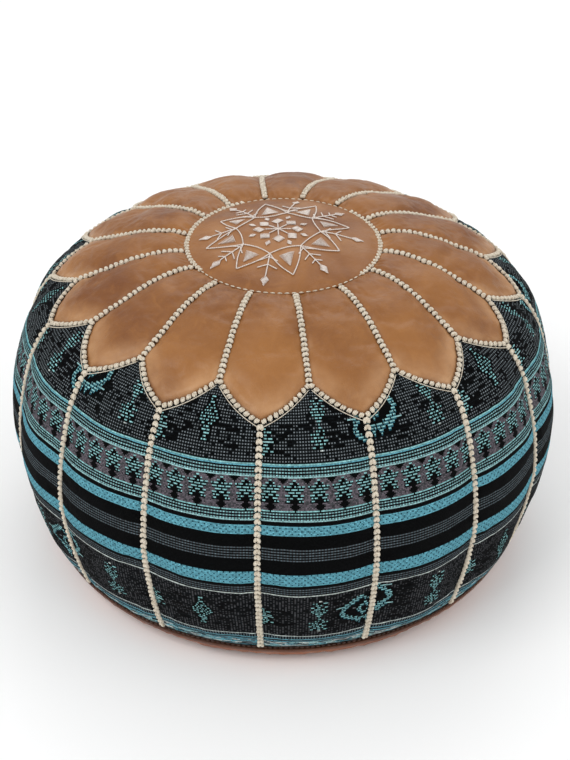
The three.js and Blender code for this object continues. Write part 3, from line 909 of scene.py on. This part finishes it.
def place_lobes(name, centres, alongs, sides, ups, sizes, material):
    """One mesh of stretched balls. sizes has each one's half sizes along, sideways and up."""
    count = len(centres)
    axes = np.stack((alongs, sides, ups), 1) * sizes[:, :, None]
    points = np.einsum("pk,nkx->npx", LOBE_POINTS, axes) + centres[:, None, :]
    offsets = (np.arange(count) * len(LOBE_POINTS))[:, None, None]
    faces = (LOBE_FACES[None] + offsets).reshape(-1, 3)
    return mesh_object(name, points.reshape(-1, 3), faces, material)


def walk(path, up, pitch):
    """Evenly spaced places along a path: centres, directions and up vectors."""
    travelled = distances(path)
    count = max(2, int(round(travelled[-1] / pitch)))
    at = (np.arange(count) + 0.5) * travelled[-1] / count
    centres = values_at(path, travelled, at)
    alongs = values_at(path, travelled, at + 1 * MM) - values_at(path, travelled, at - 1 * MM)
    alongs /= np.linalg.norm(alongs, axis=1)[:, None]
    ups = values_at(up, travelled, at)
    ups -= (ups * alongs).sum(1)[:, None] * alongs
    ups /= np.linalg.norm(ups, axis=1)[:, None]
    return centres, alongs, ups


def knots(paths, seed, pitch, size=1.0, slant=0.35):
    """Knots along paths, each two lobes side by side that lean into a V."""
    random = np.random.default_rng(seed)
    gathered = []
    for path, up in paths:
        centres, alongs, ups = walk(path, up, pitch)
        sides = np.cross(ups, alongs)
        for side in (-1, 1):
            lean = side * slant + random.normal(0, 0.1, len(centres))[:, None]
            turned = alongs * np.cos(lean) + sides * np.sin(lean)
            half = np.array([[0.48 * pitch / MM, 1.75, 2.1]]) * MM * size
            half = half * random.normal(1, 0.06, (len(centres), 1))
            shift = sides * side * LOBE_SHIFT * size + random.normal(0, 0.12 * MM, centres.shape)
            gathered.append((centres + shift, turned, np.cross(ups, turned), ups, half))
    return [np.vstack(column) for column in zip(*gathered)]


def bundles(paths, seed, pitch, size=1.0, slant=0.22):
    """Plump stitches along paths, each three strands that cross the seam at a slant."""
    random = np.random.default_rng(seed)
    gathered = []
    for path, up in paths:
        centres, alongs, ups = walk(path, up, pitch)
        sides = np.cross(ups, alongs)
        for strand in (-1, 0, 1):
            lean = slant + random.normal(0, 0.1, len(centres))[:, None]
            turned = sides * np.cos(lean) + alongs * np.sin(lean)
            outer = 1 - 0.16 * abs(strand)
            half = np.array([[2.75 * outer, 0.98, 2.1 * outer]]) * MM * size
            half = half * random.normal(1, 0.06, (len(centres), 1))
            shift = alongs * strand * STRAND_STEP * size + random.normal(0, 0.12 * MM, centres.shape)
            gathered.append((centres + shift, turned, np.cross(ups, turned), ups, half))
    return [np.vstack(column) for column in zip(*gathered)]


def seam_path(angle, length, raised):
    """A path on the surface and the directions out from it."""
    path = on_surface(angle, length, raised)
    return path, on_surface(angle, length, raised + 1) - path


def running_stitches(name, paths, pitch, half_size, material):
    """Single flat stitches along paths. half_size is in millimetres along, sideways and up."""
    rows = [walk(path, up, pitch) for path, up in paths]
    centres, alongs, ups = (np.vstack(column) for column in zip(*rows))
    half = np.tile(np.array([half_size]) * MM, (len(centres), 1))
    return place_lobes(name, centres, alongs, np.cross(ups, alongs), ups, half, material)


def stitched_seams():
    """All the thick ivory stitching, as one piece for each kind of seam."""
    raised = 0.3 * MM
    radial, arches, sides = [], [], []
    for k in range(SECTORS):
        length = np.linspace(3.5 * MM, ARCH_TOP - 1 * MM, 40)
        radial.append(seam_path(seam_angle(k, length), length, raised))
        share = np.linspace(0.0, 0.985, 24)
        for way in (1, -1):
            length = arch_length(share)
            arches.append(seam_path(seam_angle(k + way * share / 2, length), length, raised))
        length = np.linspace(PETAL_TIP + 0.5 * MM, OUTLINE_LENGTH - 2 * MM, 60)
        sides.append(seam_path(seam_angle(k + 0.5, length), length, raised))
    thick = []
    for start, end in ((50, 135), (205, 305)):
        part = np.radians(np.linspace(start, end, 160))
        thick.append(seam_path(part, np.full_like(part, 0.5 * MM), 0.4 * MM))
    pieces = {}
    for name, placed in (
        ("radial_stitches", knots(radial, 1, ARCH_PITCH, 0.95, 0.5)),
        ("arch_stitches", bundles(arches, 2, ARCH_PITCH)),
        ("side_stitches", knots(sides, 3, SIDE_PITCH)),
        ("rim_stitches", knots(thick, 4, ARCH_PITCH, 0.8, 0.5)),
    ):
        pieces[name] = place_lobes(name, *placed, ivory)
    turn = np.linspace(0, 2 * math.pi, 400)
    for name, length, raised, pitch, half_size, thread in (
        ("rim_running_stitches", 0.5 * MM, 0.2 * MM, 6.5 * MM, (2.3, 0.65, 0.7), ivory),
        ("base_stitches", OUTLINE_LENGTH - 0.5 * MM, 0.3 * MM, 5 * MM, (1.9, 0.7, 0.8), russet),
    ):
        ring = seam_path(turn, np.full_like(turn, length), raised)
        pieces[name] = running_stitches(name, [ring], pitch, half_size, thread)
    return pieces


def finer(path, step):
    """A path of points with more points between them, this far apart."""
    travelled = distances(path)
    at = np.linspace(0, travelled[-1], max(4, int(travelled[-1] / step)))
    return values_at(path, travelled, at)


def tubes(name, paths, radius, material, sides=6, twist=0.0):
    """Round threads along paths of points, as one mesh. A twisted thread is a chain of small plies."""
    all_points, all_faces, offset = [], [], 0
    for path in paths:
        path = finer(np.asarray(path), 0.5 * MM) if twist else np.asarray(path)
        tangent = np.gradient(path, axis=0)
        tangent /= np.linalg.norm(tangent, axis=1)[:, None]
        side = np.cross(tangent, (0, 0, 1))
        side /= np.maximum(np.linalg.norm(side, axis=1), 1e-9)[:, None]
        up = np.cross(side, tangent)
        taper = np.ones(len(path))
        if twist:
            taper += twist * np.sin(np.arange(len(path)) * 2 * math.pi / 4)
        taper[[0, -1]] = 0.35
        turn = np.arange(sides) * 2 * math.pi / sides
        ring = np.cos(turn)[None, :, None] * side[:, None] + np.sin(turn)[None, :, None] * up[:, None]
        points = path[:, None] + ring * radius * taper[:, None, None]
        all_points.append(points.reshape(-1, 3))
        all_faces.append(ring_quads(len(path), sides)[:, [0, 3, 2, 1]] + offset)
        offset += len(path) * sides
    return mesh_object(name, np.vstack(all_points), np.vstack(all_faces), material)


def edge_threads():
    """The thin white thread that runs beside each arch, on the cloth's side."""
    paths = []
    share = np.linspace(0.03, 0.95, 30)
    for k in range(SECTORS):
        for way in (1, -1):
            length = arch_length(share) + 4.6 * MM
            path = on_surface(seam_angle(k + way * share / 2, length), length, 0.2 * MM)
            paths.append(path)
    return tubes("edge_threads", paths, 0.42 * MM, ivory)


# Embroidery -----------------------------------------------------------------------------------------

# The embroidery's main points were measured on the photograph, where they are uneven. Each is in degrees
# from the front and millimetres from the drawing's own centre.
DRAWING_CENTRE = np.array([-5.2, -3.0])
NOTCHES = [(-11, 40), (36.5, 36), (86, 41), (129, 42.5), (167, 38), (219, 36.5), (261, 41), (304.5, 40)]
TIPS = [(11.5, 71), (63.5, 65), (106, 72), (150, 75), (191, 68), (242, 64), (285, 71), (326, 69)]
LEAF_ENDS = [(-9, 84), (36, 80), (87, 83), (129, 85), (167, 86), (215, 86), (269, 77), (309, 82)]
ROSETTE_TURN = 2
THREAD_LIFT = 0.8 * MM


def on_dome(x, y, raised):
    """A point on the medallion from a flat drawing in millimetres."""
    radius = np.hypot(x, y) * MM
    lift = 0.9 * MM * bumps(np.stack((x * MM, y * MM, dome_height(radius)), -1), 31, 45 * MM)
    edge = MEDALLION_RADIUS - radius
    return np.stack((x * MM, y * MM, dome_height(radius) + lift * smooth(0, 12 * MM, edge) + raised), -1)


def drawn(place):
    """A point of the drawing from its angle and radius."""
    angle, radius = math.radians(place[0]), place[1]
    return DRAWING_CENTRE + (radius * math.sin(angle), -radius * math.cos(angle))


def framed(points, origin, toward):
    """Points given across and along the way from one place to another."""
    along = toward - origin
    along = along / np.linalg.norm(along)
    across = np.array([-along[1], along[0]])
    points = np.asarray(points, float)
    return origin + points[..., :1] * across + points[..., 1:] * along


def line_between(a, b, steps=8, bow=0.0):
    t = np.linspace(0, 1, steps)[:, None]
    a, b = np.array(a, float), np.array(b, float)
    normal = np.array([b[1] - a[1], a[0] - b[0]])
    return a + (b - a) * t + normal * bow * np.sin(math.pi * t)


def satin(corners, spacing=0.8):
    """Side-by-side threads that fill a convex shape, across its first edge's direction."""
    corners = np.array(corners, float)
    way = corners[1] - corners[0]
    way /= np.linalg.norm(way)
    normal = np.array([-way[1], way[0]])
    reach = corners @ normal
    threads = []
    for level in np.arange(reach.min() + spacing / 2, reach.max(), spacing):
        crossings = []
        for a, b in zip(corners, np.roll(corners, -1, axis=0)):
            ra, rb = a @ normal - level, b @ normal - level
            if ra * rb < 0:
                crossings.append(a + (b - a) * ra / (ra - rb))
        if len(crossings) == 2 and np.linalg.norm(crossings[0] - crossings[1]) > 0.6:
            threads.append(line_between(*crossings, steps=4))
    return threads


def embroidery():
    """Rosette, eight-pointed star and eight fern stalks, in raised thread."""
    lines, fills = [], []

    def sew(points, kind):
        kind.append(on_dome(points[:, 0], points[:, 1], THREAD_LIFT))

    def fill(corners, spacing=0.8):
        for thread in satin(corners, spacing):
            sew(thread, fills)

    notches, tips, ends = ([drawn(place) for place in places] for places in (NOTCHES, TIPS, LEAF_ENDS))
    for k in range(8):
        outward = drawn((ROSETTE_TURN + 45 * k, 1))
        between = drawn((ROSETTE_TURN + 45 * k + 22, 1))
        sew(framed(line_between((0, 0), (0, 12.5)), DRAWING_CENTRE, outward), lines)
        fill(framed([(0, 12.5), (6, 18.5), (0, 24.5), (-6, 18.5)], DRAWING_CENTRE, outward))
        fill(framed([(0, 22.5), (2.7, 26.5), (0, 31), (-2.7, 26.5)], DRAWING_CENTRE, between))
        here, after = notches[k], notches[(k + 1) % 8]
        sew(line_between(tips[k - 1], here, 24, 0.05), lines)
        sew(line_between(here, after, 24, -0.05), lines)
        sew(line_between(after, tips[(k + 1) % 8], 24, 0.05), lines)
        point = np.array([here, after, tips[k]])
        fill(point.mean(0) + 0.52 * (point - point.mean(0)), 1.15)
        reach = np.linalg.norm(ends[k] - here)
        sew(framed(line_between((0, 0), (0, reach - 13), 12), here, ends[k]), lines)
        for start, length in ((4, 9), (14, 9.5), (23, 6))[: 2 + k % 2]:
            for side in (-1, 1):
                barb = line_between((0, start), (side * length, start + length * 0.6), 6)
                sew(framed(barb, here, ends[k]), lines)
        leaf = [(0, reach - 14), (4, reach - 8), (0, reach), (-4, reach - 8)]
        fill(framed(leaf, here, ends[k]))
    stems = tubes("embroidery_lines", lines, 0.56 * MM, silver, twist=0.28)
    filled = tubes("embroidery_fills", fills, 0.38 * MM, silver)
    stand_for(stems, BODY, "medallion_embroidery", slot="cotton_thread")
    stand_for(filled, BODY, slot="cotton_thread")


# Base, lining and filling ---------------------------------------------------------------------------


def fading(value, ends):
    return np.clip((ends[1] - value) / (ends[1] - ends[0]), 0, 1)


def base_height(x, y):
    outward = np.maximum(0, np.hypot(x, y) - REST_RADIUS) / BASE_ACROSS
    turned_up = BASE_UP * (1 - np.sqrt(np.maximum(0, 1 - outward**2)))
    rise = fading(np.abs(y), (OPENING_HALF, CHANNEL_HALF)) * fading(np.abs(x), CHANNEL_ENDS)
    return np.maximum(turned_up, CHANNEL_HEIGHT * rise * rise * (3 - 2 * rise))


def base_half(name, side, node):
    """One half-moon of the base, folded up to the zip."""
    columns, rows = 121, 44
    x = 249.6 * MM * np.sin(np.linspace(-math.pi / 2, math.pi / 2, columns))
    outer_share = 1 - 0.76 * (1 - np.linspace(0, 1, rows - 11)[1:]) ** 1.8
    share = np.concatenate((np.linspace(0, 0.24, 12), outer_share))
    x, share = (grid.ravel() for grid in np.meshgrid(x, share))
    near = 0.35 * MM + (OPENING_HALF - 0.35 * MM) * fading(np.abs(x), OPENING_ENDS)
    far = np.sqrt(BASE_RADIUS**2 - x**2)
    y = near + (far - near) * share
    height = base_height(x, y)
    step = 0.2 * MM
    slope_x = (base_height(x + step, y) - base_height(x - step, y)) / (2 * step)
    slope_y = (base_height(x, y + step) - base_height(x, y - step)) / (2 * step)
    inward = np.stack((-slope_x, -slope_y, np.ones_like(x)), 1)
    inward /= np.linalg.norm(inward, axis=1)[:, None]
    flat = np.stack((side * x, side * y, height), 1)
    inward[:, :2] *= side
    radius = np.hypot(x, y)
    from_seam = BASE_RADIUS - radius
    turned = smooth(REST_RADIUS, BASE_RADIUS, radius)
    creased = 0.6 * MM * bumps(flat, 41 + side, 30 * MM) * smooth(0, 10 * MM, from_seam)
    gathers = np.sin(np.arctan2(y, x) * 120 + 2 * bumps(flat, 44, 40 * MM))
    creased += 0.5 * MM * gathers * turned * smooth(0, 6 * MM, from_seam)
    lifted = (0.8 * MM + creased) * smooth(0.0, 0.4, turned)
    front = smooth(0.55, 0.9, -flat[:, 1] / BASE_RADIUS)
    lifted -= 2.2 * MM * front * smooth(0.25, 0.7, turned) * smooth(1, 0.85, turned)
    outer = flat + inward * lifted[:, None]
    obj = thick_grid(name, outer, outer + inward * 2 * MM, columns, rows, brown)
    edge = np.minimum(from_seam, (y - near) + 2 * MM)
    wear = 0.35 * smooth(190 * MM, 215 * MM, radius) * (1 - turned)
    point_values(obj.data, "wear", np.tile(wear, 2))
    # Painted shade near the base seam and the zip opening.
    point_values(obj.data, "painted_seam_shade", np.tile(smooth(4 * MM, 0, edge), 2))
    stand_for(obj, BODY, node, slot="base_leather")


def zip_stitches():
    """Two rows of running stitches along each side of the zip."""
    paths = []
    x = np.linspace(-176 * MM, 176 * MM, 200)
    for side in (-1, 1):
        for offset in (11 * MM, 15 * MM):
            y = np.full_like(x, offset)
            path = np.stack((x, side * y, base_height(x, y) - 0.1 * MM), 1)
            paths.append((path, np.tile((0.0, side * -0.3, -1.0), (len(x), 1))))
    obj = running_stitches("zip_stitches", paths, 4.5 * MM, (1.6, 0.45, 0.5), russet)
    stand_for(obj, BODY, slot="cotton_thread")


def zip_tape(side, node):
    """A woven tape that holds one row of the zip's teeth, a little slack between its stitches."""
    low, high = (Vector(corner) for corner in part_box(node))
    columns, rows = 180, 9
    x, share = np.meshgrid(np.linspace(low.x, high.x, columns)[::side], np.linspace(0, 1, rows))
    x, share = x.ravel(), share.ravel()
    near, far = sorted((abs(low.y), abs(high.y)))
    slack = 0.15 * MM * np.sin(x / (7 * MM)) * share
    y = side * (near + (far - near) * share)
    under = np.stack((x, y, low.z + slack), 1)
    over = np.stack((x, y, high.z + slack), 1)
    obj = thick_grid(node + "_woven", under, over, columns, rows, tape_cloth)
    stand_for(obj, BODY, node, slot="zip_tape")


def bevelled(node, body, width):
    """A cast brass piece with its edges rounded over."""
    shape = bpy.data.objects[node].data.copy()
    shape.materials.clear()
    shape.materials.append(brass)
    obj = bpy.data.objects.new(node + "_cast", shape)
    bpy.context.scene.collection.objects.link(obj)
    rounded = obj.modifiers.new("Rounded", "BEVEL")
    rounded.width = width
    rounded.segments = 3
    rounded.limit_method = "ANGLE"
    rounded.harden_normals = True
    stand_for(obj, body, node, slot="zip_metal")


def inner_profile(depth):
    """Half the pouf's section, set in by a depth, from the middle of the top to the middle of the base."""
    radius = np.linspace(0.5 * MM, 86 * MM, 14)
    top = np.stack((radius, dome_height(radius) - depth), 1)
    length = np.linspace(4 * MM, OUTLINE_LENGTH, 60)
    wall = on_surface(0.0, length, -depth)
    turn = np.linspace(math.pi / 2, 0, 10)[1:]
    low = np.stack(
        (
            REST_RADIUS + (BASE_ACROSS - depth) * np.sin(turn),
            BASE_UP - (BASE_UP - depth) * np.cos(turn),
        ),
        1,
    )
    floor = np.linspace(REST_RADIUS - 8 * MM, 0.5 * MM, 26)
    floor = np.stack((floor, np.full_like(floor, depth)), 1)
    return np.vstack((top, np.stack((-wall[:, 1], wall[:, 2]), 1), low, floor))


def turned_bag(name, depth, lumps, seed, nodes, material, slot):
    """A closed bag of cloth that fills the pouf up to a depth below its seams, folded up over the zip."""
    profile = inner_profile(depth)
    spokes = 128
    angle = np.arange(spokes) * 2 * math.pi / spokes
    points = polar(profile[:, 0][:, None], angle[None, :], profile[:, 1][:, None]).reshape(-1, 3)
    x, y = np.abs(points[:, 0]), np.abs(points[:, 1])
    rise = fading(y, (20 * MM, 60 * MM)) * fading(x, (205 * MM, 235 * MM))
    points[:, 2] = np.maximum(points[:, 2], (19 * MM + depth) * rise)
    outward = points - np.array((0, 0, 150 * MM))
    outward /= np.linalg.norm(outward, axis=1)[:, None]
    points -= outward * (lumps * (1 + bumps(points, seed, 60 * MM)))[:, None]
    obj = mesh_object(name, points, ring_quads(len(profile), spokes), material)
    last = len(points) - 1
    close_rings(obj, [range(spokes), range(last, last - spokes, -1)], False)
    stand_for(obj, BODY, *nodes, slot=slot)


# Building -------------------------------------------------------------------------------------------

field = stuffed_field()
chart = weave_chart()
for sector in range(SECTORS):
    petal(sector, field)
    side_panel(sector, field, chart)
medallion()
embroidery()
stitches = stitched_seams()
for name, piece in stitches.items():
    cord = "side_seam_cord" if name == "side_stitches" else "top_seam_cord"
    stand_for(piece, BODY, cord, slot="cotton_thread")
stand_for(edge_threads(), BODY, slot="cotton_thread")
base_half("base_front", -1, "base_half_front")
base_half("base_rear", 1, "base_half_rear")
zip_stitches()
turned_bag("lining", 6.2 * MM, 0.3 * MM, 61, ["lining_bag"], calico, "calico")
turned_bag("stuffing", 9 * MM, 1.2 * MM, 62, ["filling"], calico, "calico")

for side, node in ((-1, "zip_tape_front"), (1, "zip_tape_rear")):
    zip_tape(side, node)
bevelled("zip_slider", "slider", 0.5 * MM)
bevelled("zip_pull", "pull", 0.35 * MM)
teeth = ("zip_teeth_front", "zip_teeth_rear")
for node in (*teeth, "zip_top_stop_front", "zip_top_stop_rear", "zip_bottom_stop"):
    bpy.data.objects[node].data.materials.clear()
    bpy.data.objects[node].data.materials.append(brass)


# Studio ---------------------------------------------------------------------------------------------


def studio():
    """A pale floor, a white surround, soft lights from the left and above, and the camera."""
    bpy.ops.mesh.primitive_plane_add(size=14, location=(0, 3, -0.0002))
    floor = bpy.context.object
    floor.name = "studio_floor"
    paper = Shader("studio_paper")
    paper.set(Base_Color=rgb(250, 250, 250), Roughness=0.9)
    floor.data.materials.append(paper.material)
    world = bpy.data.worlds.new("studio")
    world.use_nodes = True
    world.node_tree.nodes["Background"].inputs["Color"].default_value = (1, 1, 1, 1)
    world.node_tree.nodes["Background"].inputs["Strength"].default_value = 0.75
    bpy.context.scene.world = world
    for name, place, size, power in (
        ("key", (-1.4, -1.2, 2.2), 1.6, 26),
        ("fill", (1.8, -1.0, 1.6), 2.0, 12),
        ("back", (0.2, 2.0, 2.2), 2.0, 18),
    ):
        light = bpy.data.lights.new(name, "AREA")
        light.size = size
        light.energy = power
        obj = bpy.data.objects.new(name, light)
        obj.location = place
        obj.rotation_euler = (Vector((0, 0, 0.2)) - Vector(place)).to_track_quat("-Z", "Y").to_euler()
        bpy.context.scene.collection.objects.link(obj)
    camera = bpy.data.cameras.new("camera")
    camera.sensor_width = 36
    camera.lens = 1400 / 760 * 36
    eye = bpy.data.objects.new("camera", camera)
    eye.location = (0.0014, -1.190, 0.980)
    eye.rotation_euler = (math.radians(90 - 34.6), 0, 0)
    bpy.context.scene.collection.objects.link(eye)
    bpy.context.scene.camera = eye
    bpy.context.scene.view_settings.view_transform = "Standard"


studio()
